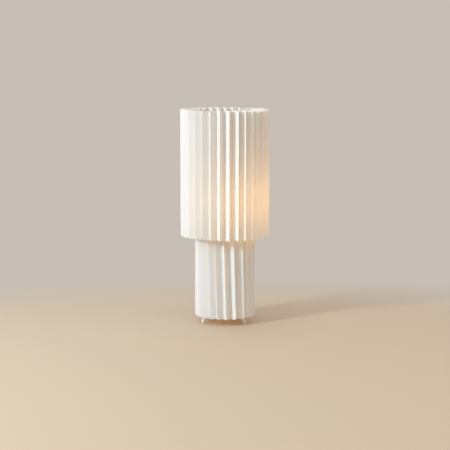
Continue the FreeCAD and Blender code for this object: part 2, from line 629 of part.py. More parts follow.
feature(glass, "Revolution", "glass_turn", Profile=profile,
        ReferenceAxis=(profile, ["V_Axis"]), Angle=360)

turned("lamp_stem", [
    ("0", "0"), ("stem_foot", "0"), ("stem_foot", "bulb_wall"), ("stem_radius", "stem_flare"),
    ("stem_radius", "stem_top - stem_start"), ("0", "stem_top - stem_start")],
    level="bulb_level + stem_start")

strips = new_body("filament_strips", level="bulb_level + stem_top + 2 * lead_radius")
strips.AllowCompound = True
strip_end = sketch_on(strips, "XY_Plane", "strip_end")
circle(strip_end, "strip_circle", "0", "strip_radius")
strip_pad = feature(strips, "Pad", "strip_pad", Profile=strip_end)
bind(strip_pad, Length="strip_length")
strip_row = feature(strips, "PolarPattern", "strip_row", Originals=[strip_pad],
                    Axis=(origin_feature(strips, "Z_Axis"), [""]), Angle=360)
bind(strip_row, Occurrences="strip_count")

leads = new_body("support_wires", level="bulb_level + stem_top")
post_end = sketch_on(leads, "XY_Plane", "post_end")
circle(post_end, "0", "0", "lead_radius")
post = feature(leads, "Pad", "post", Profile=post_end)
bind(post, Length="lead_height + 2 * lead_radius")
crosses = []
for name, height in (("lower", "lead_radius"), ("upper", "lead_height + lead_radius")):
    lead_end = sketch_on(leads, "YZ_Plane", f"{name}_lead_end")
    circle(lead_end, "0", height, "lead_radius")
    lead = feature(leads, "Pad", f"{name}_lead", Profile=lead_end)
    bind(lead, Length="strip_circle + strip_radius")
    crosses.append(lead)
lead_row = feature(leads, "PolarPattern", "lead_row", Originals=crosses,
                   Axis=(origin_feature(leads, "Z_Axis"), [""]), Angle=360)
bind(lead_row, Occurrences="strip_count")

doc.recompute()

broken = [thing.Label for thing in doc.Objects if {"Invalid", "Error"} & set(thing.State)]
if broken:
    raise RuntimeError(f"these did not recompute: {broken}")
for part in NODES:
    if part.Shape.isNull() or not part.Shape.isValid() or not part.Shape.Solids:
        raise RuntimeError(f"{part.Label} has no valid solid")

os.makedirs("parts", exist_ok=True)
for part in NODES:
    part.Shape.exportStep(f"parts/{part.Label}.step")
    box = part.Shape.BoundBox
    print(f"{part.Label}: {len(part.Shape.Solids)} solid, {part.Shape.Volume:.1f} mm3,"
          f" z {box.ZMin:.2f} to {box.ZMax:.2f}")
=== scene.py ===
"""A pleated paper table lamp: its finishes, its folded paper and its fine detail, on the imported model.

All lengths are metres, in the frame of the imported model: +Z up, the lamp's axis on Z, its front towards -Y.
"""

import logging
import math
import random
from collections.abc import Callable, Iterable, Iterator, Mapping, Sequence
from contextlib import contextmanager
from dataclasses import dataclass, field
from enum import Enum
from typing import Any, Protocol

import bpy
from mathutils import Matrix, Vector


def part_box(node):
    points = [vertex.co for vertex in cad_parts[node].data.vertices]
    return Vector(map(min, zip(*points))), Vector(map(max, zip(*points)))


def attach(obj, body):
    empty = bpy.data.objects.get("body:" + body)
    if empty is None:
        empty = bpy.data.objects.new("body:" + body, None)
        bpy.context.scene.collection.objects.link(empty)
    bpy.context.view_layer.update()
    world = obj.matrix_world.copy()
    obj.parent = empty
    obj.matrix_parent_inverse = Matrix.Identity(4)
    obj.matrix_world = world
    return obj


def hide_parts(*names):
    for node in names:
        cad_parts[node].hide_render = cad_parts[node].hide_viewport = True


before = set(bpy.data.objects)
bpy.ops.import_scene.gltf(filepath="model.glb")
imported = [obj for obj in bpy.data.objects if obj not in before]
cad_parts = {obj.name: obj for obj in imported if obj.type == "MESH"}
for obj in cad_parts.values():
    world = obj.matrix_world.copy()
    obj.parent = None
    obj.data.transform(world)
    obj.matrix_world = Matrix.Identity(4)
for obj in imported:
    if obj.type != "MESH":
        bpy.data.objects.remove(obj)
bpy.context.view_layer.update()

log = logging.getLogger("paper_lamp")

MM = 0.001
THREAD_PITCH = 3.62 * MM
CAP_THREAD_START = 0.22
THREAD_STEPS = 8
ROUND_STEPS = 48
Colour = tuple[float, float, float]


# ---------------------------------------------------------------- the model's own places


@dataclass(frozen=True)
class Extent:
    """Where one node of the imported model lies."""

    low: Vector
    high: Vector
    inner: float
    outer: float

    @classmethod
    def of(cls, node: str) -> "Extent":
        """Measures a node.

        Args:
            node: The node's name.

        Returns:
            Its corners, and its least and largest distance from the lamp's axis.
        """
        low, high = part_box(node)
        reach = [math.hypot(v.co.x, v.co.y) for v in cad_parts[node].data.vertices]
        return cls(low, high, min(reach), max(reach))

    @property
    def height(self) -> float:
        """The node's height."""
        return self.high.z - self.low.z

    @property
    def middle(self) -> float:
        """The level halfway up the node."""
        return (self.low.z + self.high.z) / 2

    @property
    def turn(self) -> float:
        """The angle round the axis, from +X, at which the node's middle lies."""
        return math.atan2(self.low.y + self.high.y, self.low.x + self.high.x)


class Body(Enum):
    """The bodies that the lamp's joints move."""

    STAND = "stand"
    SHADE = "shade"
    BULB = "bulb"


class Slot(Enum):
    """The lamp's material slots."""

    PAPER = "paper"
    WIRE = "white_wire"
    HOLDER = "holder_plastic"
    GRIP = "grip_plastic"
    CORE = "core_ceramic"
    BRASS = "brass"
    ZINC = "zinc_steel"
    GLOBE = "bulb_glass"
    CLEAR = "clear_glass"
    BLACK = "black_glass"
    CAP = "cap_metal"
    FILAMENT = "filament"


# ---------------------------------------------------------------- modelling by hand


def let_go() -> None:
    """Leaves nothing selected and no object in edit mode."""
    if bpy.context.object and bpy.context.object.mode != "OBJECT":
        bpy.ops.object.mode_set(mode="OBJECT")
    bpy.ops.object.select_all(action="DESELECT")


@contextmanager
def editing(piece: bpy.types.Object, level: str = "VERT") -> Iterator[bpy.types.Object]:
    """Opens a piece in edit mode with nothing selected, and closes it again.

    Args:
        piece: The piece to shape.
        level: VERT, EDGE or FACE, which is what the operators select.

    Yields:
        The same piece.
    """
    let_go()
    bpy.context.view_layer.objects.active = piece
    piece.select_set(True)
    bpy.ops.object.mode_set(mode="EDIT")
    bpy.ops.mesh.select_mode(type=level)
    bpy.ops.mesh.select_all(action="DESELECT")
    yield piece
    bpy.ops.object.mode_set(mode="OBJECT")


def pick(piece: bpy.types.Object, wanted: Callable[[Vector], bool]) -> None:
    """Selects the vertices of a piece that is open in edit mode.

    Args:
        piece: The piece.
        wanted: Says of a vertex's place whether it is selected.
    """
    bpy.ops.object.mode_set(mode="OBJECT")
    for face in piece.data.polygons:
        face.select = False
    for edge in piece.data.edges:
        edge.select = False
    for vertex in piece.data.vertices:
        vertex.select = wanted(vertex.co)
    bpy.ops.object.mode_set(mode="EDIT")


def turn(angle: float) -> None:
    """Turns the selection anticlockwise round the lamp's axis, by an angle in radians."""
    bpy.ops.transform.rotate(value=-angle, orient_axis="Z", center_override=(0, 0, 0))


def grow(factors: Sequence[float], centre: Vector = Vector((0, 0, 0))) -> None:
    """Scales the selection along X, Y and Z from a point."""
    bpy.ops.transform.resize(value=factors, center_override=centre)


def settle(piece: bpy.types.Object) -> None:
    """Moves an object's place, turn and scale into its mesh."""
    let_go()
    piece.select_set(True)
    bpy.context.view_layer.objects.active = piece
    bpy.ops.object.transform_apply(location=True, rotation=True, scale=True)


def apply_modifier(piece: bpy.types.Object, kind: str, **settings: Any) -> None:
    """Adds a modifier, sets it up and applies it.

    Args:
        piece: The piece that it works on.
        kind: The modifier's type.
        settings: Its settings by name.
    """
    modifier = piece.modifiers.new(kind.title(), kind)
    for name, value in settings.items():
        setattr(modifier, name, value)
    let_go()
    piece.select_set(True)
    bpy.context.view_layer.objects.active = piece
    bpy.ops.object.modifier_apply(modifier=modifier.name)


def shade_smooth(piece: bpy.types.Object, angle: float = 35.0) -> None:
    """Smooths the faces of a piece that meet at less than an angle in degrees."""
    let_go()
    piece.select_set(True)
    bpy.context.view_layer.objects.active = piece
    bpy.ops.object.shade_smooth_by_angle(angle=math.radians(angle))


def named(name: str) -> bpy.types.Object:
    """Gives the object that an operator has just added its name, and its mesh too."""
    piece = bpy.context.object
    piece.name = name
    piece.data.name = name
    return piece


def trace(name: str, points: Sequence[tuple[float, float]]) -> bpy.types.Object:
    """Draws an open outline in the XZ plane, one extruded vertex after another.

    Args:
        name: The new piece's name.
        points: Radius and level of each point.

    Returns:
        The outline as a piece of edges only.
    """
    let_go()
    radius, level = points[0]
    bpy.ops.mesh.primitive_plane_add(size=1 * MM, location=(radius, 0, level))
    piece = named(name)
    settle(piece)
    with editing(piece):
        bpy.ops.mesh.select_all(action="SELECT")
        bpy.ops.mesh.merge(type="CENTER")
        for (from_r, from_z), (to_r, to_z) in zip(points, points[1:]):
            step = (to_r - from_r, 0, to_z - from_z)
            bpy.ops.mesh.extrude_region_move(TRANSFORM_OT_translate={"value": step})
    return piece


def revolve(piece: bpy.types.Object, steps: int) -> None:
    """Spins an outline once round the lamp's axis, and joins the seam and the poles."""
    with editing(piece):
        bpy.ops.mesh.select_all(action="SELECT")
        bpy.ops.mesh.spin(steps=steps, angle=math.tau, center=(0, 0, 0), axis=(0, 0, 1))
        bpy.ops.mesh.select_all(action="SELECT")
        bpy.ops.mesh.remove_doubles(threshold=0.01 * MM)
        bpy.ops.mesh.normals_make_consistent(inside=False)


def joined(name: str, pieces: Sequence[bpy.types.Object]) -> bpy.types.Object:
    """Joins pieces into one of a given name."""
    let_go()
    for piece in pieces:
        piece.select_set(True)
    bpy.context.view_layer.objects.active = pieces[0]
    bpy.ops.object.join()
    return named(name)


def copied(piece: bpy.types.Object, place: Matrix) -> bpy.types.Object:
    """Copies a piece with a mesh of its own, moved by a matrix."""
    twin = piece.copy()
    twin.data = piece.data.copy()
    twin.data.transform(place)
    bpy.context.scene.collection.objects.link(twin)
    return twin


def present(
    piece: bpy.types.Object,
    material: bpy.types.Material,
    body: Body,
    slot: Slot,
    stands_for: Sequence[str] = (),
) -> bpy.types.Object:
    """Finishes a new piece and hands it to the body that it rides on.

    Args:
        piece: The piece, with its place in its mesh.
        material: Its finish.
        body: The body that carries it.
        slot: Not used.
        stands_for: The nodes of the model that it replaces.

    Returns:
        The same piece.
    """
    piece.data.materials.clear()
    piece.data.materials.append(material)
    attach(piece, body.value)
    if stands_for:
        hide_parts(*stands_for)
    log.info("%s: %d faces, on %s", piece.name, len(piece.data.polygons), body.value)
    return piece


def dress(nodes: Iterable[str], material: bpy.types.Material) -> None:
    """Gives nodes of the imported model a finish."""
    for node in nodes:
        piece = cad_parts[node]
        piece.data.materials.clear()
        piece.data.materials.append(material)
        log.info("%s: dressed with %s", node, material.name)


# ---------------------------------------------------------------- shader maths


class Signal:
    """One output of a node tree. Sums and products of signals add Math nodes."""

    def __init__(self, paint: "Paint", socket: bpy.types.NodeSocket) -> None:
        """Keeps the tree and the output socket."""
        self.paint = paint
        self.socket = socket

    def also(self, output: str) -> "Signal":
        """Another output of the same node."""
        return Signal(self.paint, self.socket.node.outputs[output])

    def maths(self, operation: str, left: "Signal | float", right: "Signal | float" = 0.0) -> "Signal":
        """Adds one Math node.

        Args:
            operation: The node's operation.
            left: Its first value.
            right: Its second value.

        Returns:
            The result.
        """
        return self.paint.node("ShaderNodeMath", {"operation": operation}, {0: left, 1: right})

    def __add__(self, other: "Signal | float") -> "Signal":
        """This plus other."""
        return self.maths("ADD", self, other)

    def __radd__(self, other: float) -> "Signal":
        """Other plus this."""
        return self.maths("ADD", other, self)

    def __sub__(self, other: "Signal | float") -> "Signal":
        """This less other."""
        return self.maths("SUBTRACT", self, other)

    def __rsub__(self, other: float) -> "Signal":
        """Other less this."""
        return self.maths("SUBTRACT", other, self)

    def __mul__(self, other: "Signal | float") -> "Signal":
        """This times other."""
        return self.maths("MULTIPLY", self, other)

    def __rmul__(self, other: float) -> "Signal":
        """Other times this."""
        return self.maths("MULTIPLY", other, self)

    def __truediv__(self, other: "Signal | float") -> "Signal":
        """This over other."""
        return self.maths("DIVIDE", self, other)

    def __rtruediv__(self, other: float) -> "Signal":
        """Other over this."""
        return self.maths("DIVIDE", other, self)

    def __pow__(self, other: "Signal | float") -> "Signal":
        """This to the power of other."""
        return self.maths("POWER", self, other)

    def clipped(self) -> "Signal":
        """This, kept from 0 to 1."""
        return self.paint.node("ShaderNodeClamp", {}, {"Value": self})


class Paint:
    """The node tree of one material, or of the surroundings. Every node in it is made by add()."""

    def __init__(self, name: str, world: bool = False) -> None:
        """Starts an empty tree under the finish's name, of a material or of the surroundings."""
        self.owner = (bpy.data.worlds if world else bpy.data.materials).new(name)
        self.owner.use_nodes = True
        self.tree = self.owner.node_tree
        self.tree.nodes.clear()

    def add(self, kind: str, settings: Mapping[str, Any], sockets: Mapping[str | int, Any]) -> bpy.types.Node:
        """Adds a node, sets it up and then fills its sockets.

        Args:
            kind: The node's type.
            settings: Its settings by name.
            sockets: A value or a signal for each named or numbered input.

        Returns:
            The node.
        """
        made = self.tree.nodes.new(kind)
        for name, value in settings.items():
            setattr(made, name, value)
        for name, value in sockets.items():
            if isinstance(value, Signal):
                self.tree.links.new(value.socket, made.inputs[name])
            elif isinstance(value, tuple) and len(value) == 3 and made.inputs[name].type == "RGBA":
                made.inputs[name].default_value = (*value, 1.0)
            else:
                made.inputs[name].default_value = value
        return made

    def node(
        self,
        kind: str,
        settings: Mapping[str, Any] | None = None,
        sockets: Mapping[str | int, Any] | None = None,
        output: str | int = 0,
    ) -> Signal:
        """Adds a node and gives the output that is wanted of it."""
        return Signal(self, self.add(kind, settings or {}, sockets or {}).outputs[output])

    def place(self) -> Signal:
        """The point's place in the lamp's own frame."""
        return self.node("ShaderNodeTexCoord", output="Object")

    def noise(self, at: Signal, scale: float, detail: float = 2.0, roughness: float = 0.5) -> Signal:
        """Cloudy noise from 0 to 1, with a number of clouds per metre."""
        sockets = {"Vector": at, "Scale": scale, "Detail": detail, "Roughness": roughness}
        return self.node("ShaderNodeTexNoise", {}, sockets)

    def stretched(self, at: Signal, factors: tuple[float, float, float]) -> Signal:
        """A place with its three directions scaled."""
        return self.node("ShaderNodeMapping", {}, {"Vector": at, "Scale": factors})

    def vector(
        self,
        operation: str,
        left: Signal,
        right: Signal | tuple[float, float, float] = (0.0, 0.0, 0.0),
        output: str = "Vector",
    ) -> Signal:
        """The result of one operation on places or directions."""
        return self.node("ShaderNodeVectorMath", {"operation": operation}, {0: left, 1: right}, output)

    def blend(self, share: Signal | float, first: Signal | Colour, second: Signal | Colour) -> Signal:
        """A colour between two, by a share from 0 to 1."""
        return self.node("ShaderNodeMix", {"data_type": "RGBA"}, {0: share, 6: first, 7: second}, output=2)

    def bump(self, height: Signal, depth: float, strength: float = 1.0) -> Signal:
        """A normal that follows a height from 0 to 1, of a real depth."""
        return self.node("ShaderNodeBump", {}, {"Height": height, "Distance": depth, "Strength": strength})

    def coat(self, **sockets: Any) -> Signal:
        """A Principled shader whose sockets are given with _ for each space."""
        return self.node("ShaderNodeBsdfPrincipled", {}, {k.replace("_", " "): v for k, v in sockets.items()})

    def done(self, shader: Signal) -> bpy.types.Material | bpy.types.World:
        """Feeds the shader to the output and hands over the material or the surroundings."""
        surroundings = isinstance(self.owner, bpy.types.World)
        kind = "ShaderNodeOutputWorld" if surroundings else "ShaderNodeOutputMaterial"
        self.add(kind, {}, {"Surface": shader})
        return self.owner


# ---------------------------------------------------------------- finishes


class Finish(Protocol):
    """Anything that can make its material."""

    def material(self) -> bpy.types.Material:
        """Builds the material."""
        ...


@dataclass(frozen=True)
class Paper:
    """White folded paper, lit from the front by the room and from behind by the bulb.

    The light that the paper lets through is a warm Translucent share. A weak emission, strongest at the level
    of the bulb and on its brighter side, is painted light:
    it stands for the bulb's light scattered inside the folds. Painted shade darkens the outer folds towards
    their valleys.
    """

    name: str
    tone: Colour = (0.86, 0.875, 0.885)
    through: Colour = (1.0, 0.85, 0.62)
    glow: Colour = (1.0, 0.58, 0.20)
    see_through: float = 0.20
    roughness: float = 0.82
    specular: float = 0.25
    bulb_level: float = 0.27
    reach: float = 0.085
    glow_fall: float = 1.5
    glow_strength: float = 0.24
    brighter_side: float = 0.5
    clouds_per_metre: float = 26.0
    fibres_per_metre: float = 1500.0
    cloud_share: float = 0.07
    fibre_share: float = 0.10
    darkest: float = 0.94
    lightest: float = 1.06
    grain_depth: float = 0.07 * MM
    ridge: float = 0.095
    depth: float = 0.0152
    painted_fold_shade_tone: Colour = (0.80, 0.76, 0.70)
    painted_fold_shade_strength: float = 0.04
    fold_curve: float = 0.7
    shade_rise: float = 5.0
    side_gain: float = 1000.0

    def material(self) -> bpy.types.Material:
        """Builds the material."""
        paint = Paint(self.name)
        at = paint.place()
        clouds = paint.noise(at, self.clouds_per_metre, 3.0)
        fibres = paint.noise(paint.stretched(at, (1.0, 1.0, 0.35)), self.fibres_per_metre, 4.0, 0.65)
        tone = self._tone(paint, at, clouds, fibres)
        glow = self._glow(paint, at)
        relief = paint.bump(fibres + clouds * 0.5, self.grain_depth, 0.5)
        sheet = paint.coat(Base_Color=tone, Roughness=self.roughness, Specular_IOR_Level=self.specular,
                           Normal=relief, Emission_Color=glow, Emission_Strength=self.glow_strength)
        light = paint.node("ShaderNodeBsdfTranslucent", {}, {"Color": self.through, "Normal": relief})
        return paint.done(paint.node("ShaderNodeMixShader", {}, {0: self.see_through, 1: sheet, 2: light}))

    def _tone(self, paint: Paint, at: Signal, clouds: Signal, fibres: Signal) -> Signal:
        """The paper's tone: faint clouds and fibres, and painted shade low in the outer folds.

        Args:
            paint: The material's tree.
            at: The point's place.
            clouds: Wide soft noise.
            fibres: Fine upright noise.

        Returns:
            The colour.
        """
        shade = (clouds - 0.5) * self.cloud_share + (fibres - 0.5) * self.fibre_share + 0.5
        darker = tuple(self.darkest * channel for channel in self.tone)
        lighter = tuple(min(1.0, self.lightest * channel) for channel in self.tone)
        folded = tuple(channel * tint for channel, tint in zip(self.tone, self.painted_fold_shade_tone))
        flat = paint.vector("MULTIPLY", at, (1.0, 1.0, 0.0))
        radius = paint.vector("LENGTH", flat, output="Value")
        sunk = ((self.ridge - radius) / self.depth).clipped()
        normal = paint.node("ShaderNodeNewGeometry", output="True Normal")
        outside = (paint.vector("DOT_PRODUCT", normal, flat, "Value") * self.side_gain).clipped()
        # Painted shade: the outer faces darken from each ridge down into the fold, standing in for the shade
        # that falls in the valleys.
        painted_fold_shade_share = ((sunk * self.shade_rise).clipped() ** self.fold_curve) * outside * self.painted_fold_shade_strength
        return paint.blend(painted_fold_shade_share, paint.blend(shade.clipped(), darker, lighter), folded)

    def _glow(self, paint: Paint, at: Signal) -> Signal:
        """The painted glow: the colour of the bulb's light scattered in the folds, by level, and brighter on
        the +X side.
        """
        place = paint.node("ShaderNodeSeparateXYZ", {}, {"Vector": at}, "Z")
        away = (place - self.bulb_level) / self.reach
        nearness = 1.0 / (1.0 + away * away)
        across = place.also("X") / self.ridge
        # Painted light: the glow grows towards +X, the side towards which the bulb's light leans.
        painted_glow_side = (1.0 - self.brighter_side) + across * self.brighter_side
        return paint.blend(((nearness ** self.glow_fall) * painted_glow_side).clipped(), (0.0, 0.0, 0.0), self.glow)


@dataclass(frozen=True)
class Coated:
    """A smooth coat over metal or plastic, with a faint unevenness and worn high spots."""

    name: str
    tone: Colour
    wear: Colour
    roughness: float = 0.4
    patches_per_metre: float = 90.0
    relief: float = 0.05 * MM
    metallic: float = 0.0
    wear_share: float = 0.35
    speckle_per_metre: float = 1800.0

    def material(self) -> bpy.types.Material:
        """Builds the material."""
        paint = Paint(self.name)
        at = paint.place()
        patches = paint.noise(at, self.patches_per_metre, 4.0, 0.6)
        speckle = paint.noise(at, self.speckle_per_metre, 2.0)
        worn = ((patches - 0.5) * 3.0 + speckle * 0.3).clipped() * self.wear_share
        tone = paint.blend(worn, self.tone, self.wear)
        rough = (speckle - 0.5) * 0.16 + worn * 0.2 + self.roughness
        relief = paint.bump(patches + speckle * 0.4, self.relief, 0.5)
        return paint.done(paint.coat(Base_Color=tone, Roughness=rough.clipped(), Metallic=self.metallic,
                                     Normal=relief))


@dataclass(frozen=True)
class BrushedMetal:
    """Turned or drawn bare metal, with fine lines round the axis and a little tarnish."""

    name: str
    tone: Colour
    tarnish: Colour
    roughness: float = 0.3
    lines_per_metre: float = 2600.0
    tarnish_per_metre: float = 140.0

    def material(self) -> bpy.types.Material:
        """Builds the material."""
        paint = Paint(self.name)
        at = paint.place()
        lines = paint.noise(paint.stretched(at, (0.04, 0.04, 1.0)), self.lines_per_metre, 2.0)
        stain = paint.noise(at, self.tarnish_per_metre, 5.0, 0.65)
        tone = paint.blend(((stain - 0.45) * 2.2).clipped(), self.tone, self.tarnish)
        rough = (lines - 0.5) * 0.25 + stain * 0.12 + self.roughness
        relief = paint.bump(lines, 0.03 * MM, 0.5)
        return paint.done(paint.coat(Base_Color=tone, Roughness=rough.clipped(), Metallic=1.0, Normal=relief))


@dataclass(frozen=True)
class FrostedGlass:
    """The lit globe: etched glass that glows warmly, brightest at its middle."""

    name: str
    tone: Colour = (1.0, 0.93, 0.82)
    glow: Colour = (1.0, 0.74, 0.42)
    rim_glow: Colour = (0.75, 0.42, 0.16)
    strength: float = 0.95
    mist_per_metre: float = 700.0
    bright_level: float = 0.27
    bright_reach: float = 0.034
    fall: float = 0.8
    roughness: float = 0.35
    rough_spread: float = 0.2
    relief: float = 0.05 * MM

    def material(self) -> bpy.types.Material:
        """Builds the material."""
        paint = Paint(self.name)
        at = paint.place()
        mist = paint.noise(at, self.mist_per_metre, 3.0)
        level = paint.node("ShaderNodeSeparateXYZ", {}, {"Vector": at}, "Z")
        away = (level - self.bright_level) / self.bright_reach
        share = (1.0 - away * away * self.fall).clipped()
        glow = paint.blend(share, self.rim_glow, self.glow)
        rough = self.roughness + (mist - 0.5) * self.rough_spread
        relief = paint.bump(mist, self.relief, 0.4)
        return paint.done(paint.coat(Base_Color=self.tone, Roughness=rough, Normal=relief,
                                     Emission_Color=glow, Emission_Strength=self.strength))


@dataclass(frozen=True)
class PlainGlass:
    """Clear or black pressed glass with a few seeds in it."""

    name: str
    tone: Colour
    transmission: float
    roughness: float = 0.06

    def material(self) -> bpy.types.Material:
        """Builds the material."""
        paint = Paint(self.name)
        seeds = paint.noise(paint.place(), 900.0, 2.0)
        relief = paint.bump(seeds, 0.02 * MM, 0.3)
        tone = paint.blend(seeds, self.tone, tuple(0.9 * channel for channel in self.tone))
        return paint.done(paint.coat(Base_Color=tone, Roughness=self.roughness, IOR=1.5, Normal=relief,
                                     Transmission_Weight=self.transmission))


@dataclass(frozen=True)
class Glowing:
    """The phosphor on the lamp's strips."""

    name: str
    tone: Colour = (1.0, 0.72, 0.32)
    strength: float = 12.0

    def material(self) -> bpy.types.Material:
        """Builds the material."""
        paint = Paint(self.name)
        grain = paint.noise(paint.place(), 1200.0, 2.0)
        glow = paint.blend(grain, tuple(0.85 * channel for channel in self.tone), self.tone)
        return paint.done(paint.coat(Base_Color=self.tone, Roughness=0.6, Emission_Color=glow,
                                     Emission_Strength=self.strength))


class Finishes:
    """Every finish of the lamp, made once and kept under its slot."""

    def __init__(self) -> None:
        """Makes the materials."""
        kinds: dict[Slot, Finish] = {
            Slot.WIRE: Coated("white_wire", (0.80, 0.78, 0.73), (0.62, 0.58, 0.52), 0.38),
            Slot.HOLDER: Coated("holder_plastic", (0.78, 0.77, 0.73), (0.70, 0.68, 0.62), 0.42),
            Slot.GRIP: Coated("grip_plastic", (0.66, 0.65, 0.61), (0.58, 0.56, 0.52), 0.5),
            Slot.CORE: Coated("core_ceramic", (0.82, 0.81, 0.77), (0.72, 0.68, 0.60), 0.3),
            Slot.BRASS: BrushedMetal("brass", (0.83, 0.62, 0.28), (0.52, 0.36, 0.16), 0.28),
            Slot.ZINC: BrushedMetal("zinc_steel", (0.62, 0.63, 0.65), (0.45, 0.45, 0.46), 0.36),
            Slot.CAP: BrushedMetal("cap_metal", (0.70, 0.69, 0.66), (0.50, 0.47, 0.42), 0.3),
            Slot.GLOBE: FrostedGlass("bulb_glass"),
            Slot.CLEAR: PlainGlass("clear_glass", (0.95, 0.95, 0.93), 0.9),
            Slot.BLACK: PlainGlass("black_glass", (0.02, 0.02, 0.022), 0.0, 0.12),
            Slot.FILAMENT: Glowing("filament"),
        }
        self.made = {slot: kind.material() for slot, kind in kinds.items()}

    def __getitem__(self, slot: Slot) -> bpy.types.Material:
        """The material of a slot."""
        return self.made[slot]


# ---------------------------------------------------------------- folded paper


@dataclass
class PleatedPaper:
    """One band of folded paper, closed to a ring, with its folds on rulings from rim to rim.

    The band stands for a node of the model: its ridges touch the same radius and its rims the same levels.
    Angles are in degrees. unevenness says how far a ridge, by its number from the first, stands out of
    step. The numbers run towards +X along the front, and back from it where they are below zero.
    """

    name: str
    node: str
    body: Body
    pleats: int
    first_ridge: float
    fold_depth: float
    unevenness: Mapping[int, float]
    painted_glow_side: float = 0.0
    wall: float = 0.5 * MM
    fold_round: float = 0.3 * MM
    rows: int = 10
    face_cuts: int = 2
    waviness: float = 0.16 * MM
    bow_length: float = 0.07
    spread: float = 0.6
    seed: int = 4
    glow: Mapping[str, float] = field(default_factory=dict)
    extent: Extent = field(init=False)

    def __post_init__(self) -> None:
        """Reads the band's place from the model."""
        self.extent = Extent.of(self.node)

    def build(self) -> bpy.types.Object:
        """Folds the paper and hands it over.

        Returns:
            The finished band.
        """
        band = self._zigzag()
        self._stagger(band)
        self._round_folds(band)
        self._raise(band)
        self._thicken(band)
        finish = Paper(self.name + "_finish", ridge=self.extent.outer, depth=self.fold_depth, **self.glow)
        return present(band, finish.material(), self.body, Slot.PAPER, (self.node,))

    def _zigzag(self) -> bpy.types.Object:
        """Draws the lower edge: a ring whose every other corner is drawn inwards."""
        let_go()
        ring = self.extent.outer
        foot = (0, 0, self.extent.low.z)
        bpy.ops.mesh.primitive_circle_add(vertices=2 * self.pleats, radius=ring, location=foot)
        band = named(self.name)
        settle(band)
        valley = (ring - self.fold_depth) / ring
        start = math.atan2(band.data.vertices[0].co.y, band.data.vertices[0].co.x)
        with editing(band):
            bpy.ops.mesh.select_all(action="SELECT")
            turn(math.radians(self.first_ridge) - start)
            pick(band, self._is_valley)
            grow((valley, valley, 1))
        return band

    def _steps(self, co: Vector) -> float:
        """How many pleats a point lies from the first ridge, round the axis."""
        angle = math.degrees(math.atan2(co.y, co.x)) - self.first_ridge
        return (angle % 360) * self.pleats / 360

    def _is_valley(self, co: Vector) -> bool:
        """Whether a corner lies halfway between two ridges."""
        return abs(self._steps(co) % 1 - 0.5) < 0.25

    def _stagger(self, band: bpy.types.Object) -> None:
        """Turns each ridge a little out of step with its neighbours, as hand folding leaves them."""
        draw = random.Random(self.seed)
        seen = {index % self.pleats: degrees for index, degrees in self.unevenness.items()}
        with editing(band):
            for index in range(self.pleats):
                out_of_step = seen.get(index, draw.gauss(0, self.spread))
                pick(band, lambda co, at=index: self._is_corner(co, at))
                turn(math.radians(out_of_step))

    def _is_corner(self, co: Vector, index: int) -> bool:
        """Whether a corner is the ridge of that number."""
        steps = self._steps(co)
        near = min(abs(steps - index), abs(steps - index - self.pleats))
        return near < 0.3 and math.hypot(co.x, co.y) > self.extent.outer - self.fold_depth / 2

    def _round_folds(self, band: bpy.types.Object) -> None:
        """Gives the folds their small radius, and the faces between them points to bow by."""
        with editing(band):
            bpy.ops.mesh.select_all(action="SELECT")
            bpy.ops.mesh.bevel(offset=self.fold_round, segments=3, affect="VERTICES")
        with editing(band, "EDGE"):
            bpy.ops.object.mode_set(mode="OBJECT")
            corners = band.data.vertices
            for edge in band.data.edges:
                ends = [corners[index].co for index in edge.vertices]
                edge.select = (ends[0] - ends[1]).length > self.fold_depth / 2
            bpy.ops.object.mode_set(mode="EDIT")
            bpy.ops.mesh.subdivide(number_cuts=self.face_cuts)

    def _raise(self, band: bpy.types.Object) -> None:
        """Draws the ring up in rows, turned a little from row to row where the folds lean."""
        rise = self.extent.height / self.rows
        step = math.radians(self.painted_glow_side) / self.rows
        with editing(band, "EDGE"):
            bpy.ops.mesh.select_all(action="SELECT")
            turn(-math.radians(self.painted_glow_side) / 2)
            for _ in range(self.rows):
                bpy.ops.mesh.extrude_region_move(TRANSFORM_OT_translate={"value": (0, 0, rise)})
                turn(step)
            bpy.ops.mesh.select_all(action="SELECT")
            bpy.ops.mesh.normals_make_consistent(inside=False)

    def _thicken(self, band: bpy.types.Object) -> None:
        """Bows the faces slightly and gives the sheet its thickness."""
        bow = bpy.data.textures.new(self.name + "_bow", "CLOUDS")
        bow.noise_scale = self.bow_length
        for way in ("X", "Y"):
            apply_modifier(band, "DISPLACE", texture=bow, strength=self.waviness, mid_level=0.5,
                           direction=way)
        apply_modifier(band, "SOLIDIFY", thickness=self.wall, offset=-1.0, use_even_offset=True)
        shade_smooth(band, 40.0)


# ---------------------------------------------------------------- wire frame


